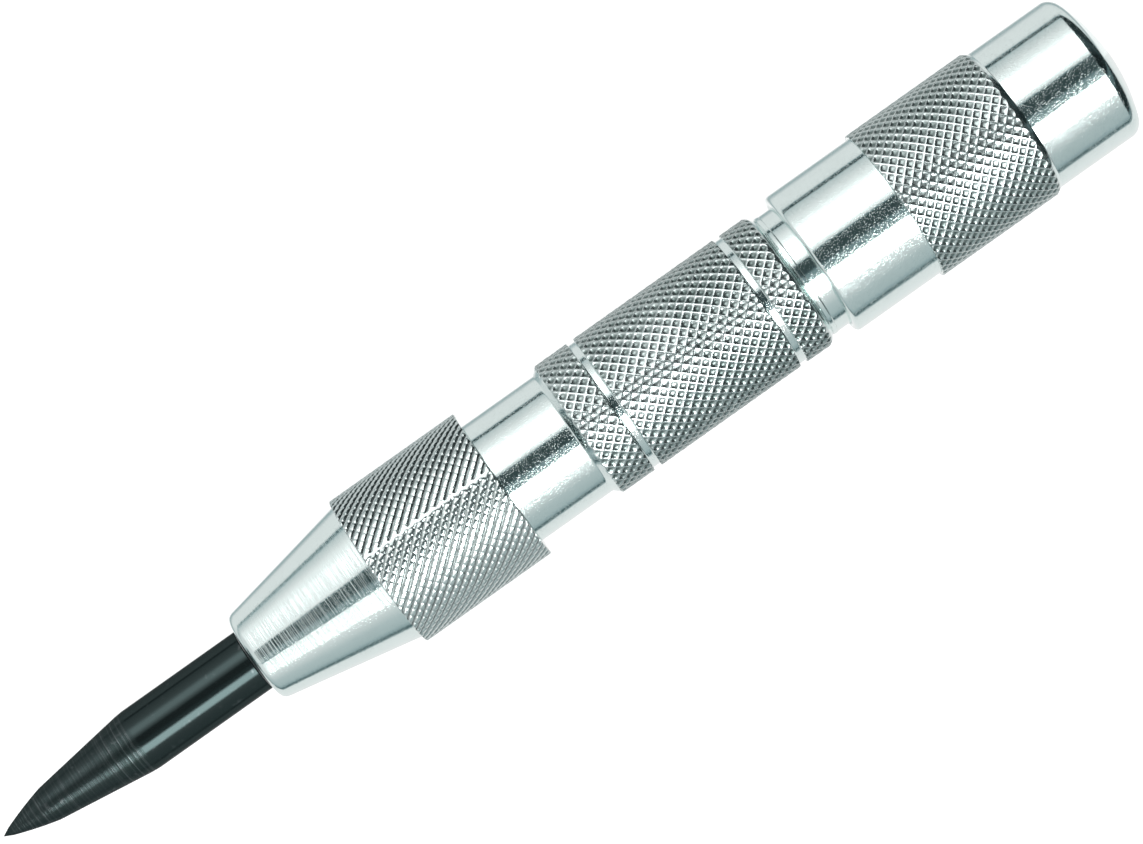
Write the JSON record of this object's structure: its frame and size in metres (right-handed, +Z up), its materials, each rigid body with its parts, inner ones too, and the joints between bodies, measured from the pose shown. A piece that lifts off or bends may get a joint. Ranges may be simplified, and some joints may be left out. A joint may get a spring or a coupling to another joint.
{
  "type": "center punch",
  "caption": "Automatic center punch: steel point in a conical nose, knurled barrel, and a screw cap that sets the spring's blow.",
  "frame": {"origin": "on the bench under the middle of the tool, which lies on its two knurled collars", "axes": "+X along the tool's axis from the tip to the cap, +Z up, +Y across the tool"},
  "size_m": [0.1508, 0.019, 0.019],
  "materials": {
    "plated_steel": "satin nickel plate over fine turning marks",
    "black_oxide_steel": "black oxide, satin",
    "tool_steel": "hardened and ground",
    "spring_steel": "drawn wire, lightly oiled"
  },
  "bodies": {
    "body": {"barrel": "plated_steel", "nose": "plated_steel"},
    "plunger": {"plunger": "tool_steel", "point": "black_oxide_steel", "return_spring": "spring_steel"},
    "hammer": {"hammer": "tool_steel", "trip_spring": "spring_steel"},
    "trip_block": {"trip_block": "tool_steel"},
    "spring_seat": {"spring_seat": "tool_steel", "main_spring": "spring_steel"},
    "cap": {"cap": "plated_steel"}
  },
  "joints": [
    {"name": "plunger_slide", "type": "slide", "parent": "body", "child": "plunger", "axis": [1, 0, 0], "range_m": [0, 0.011], "stiffness_N_per_m": 340, "deforming": ["return_spring"]},
    {"name": "hammer_slide", "type": "slide", "parent": "body", "child": "hammer", "axis": [1, 0, 0], "range_m": [0, 0.011], "stiffness_N_per_m": 6100, "deforming": ["main_spring"]},
    {"name": "trip_shift", "type": "slide", "parent": "hammer", "child": "trip_block", "axis": [0, 0, -1], "range_m": [0, 0.001], "deforming": ["trip_spring"]},
    {"name": "cap_advance", "type": "slide", "parent": "body", "child": "spring_seat", "axis": [-1, 0, 0], "range_m": [-0.005, 0.002]},
    {"name": "cap_turn", "type": "hinge", "parent": "spring_seat", "child": "cap", "pos_m": [0, 0, 0.0095], "axis": [-1, 0, 0], "range_deg": [-1800, 720]}
  ],
  "couplings": [
    {"joint": "hammer_slide", "follows": "plunger_slide", "ratio": 1},
    {"joint": "trip_shift", "follows": "plunger_slide", "ratio": 0.090909},
    {"joint": "cap_turn", "follows": "cap_advance", "rad_per_m": 6283.2}
  ]
}
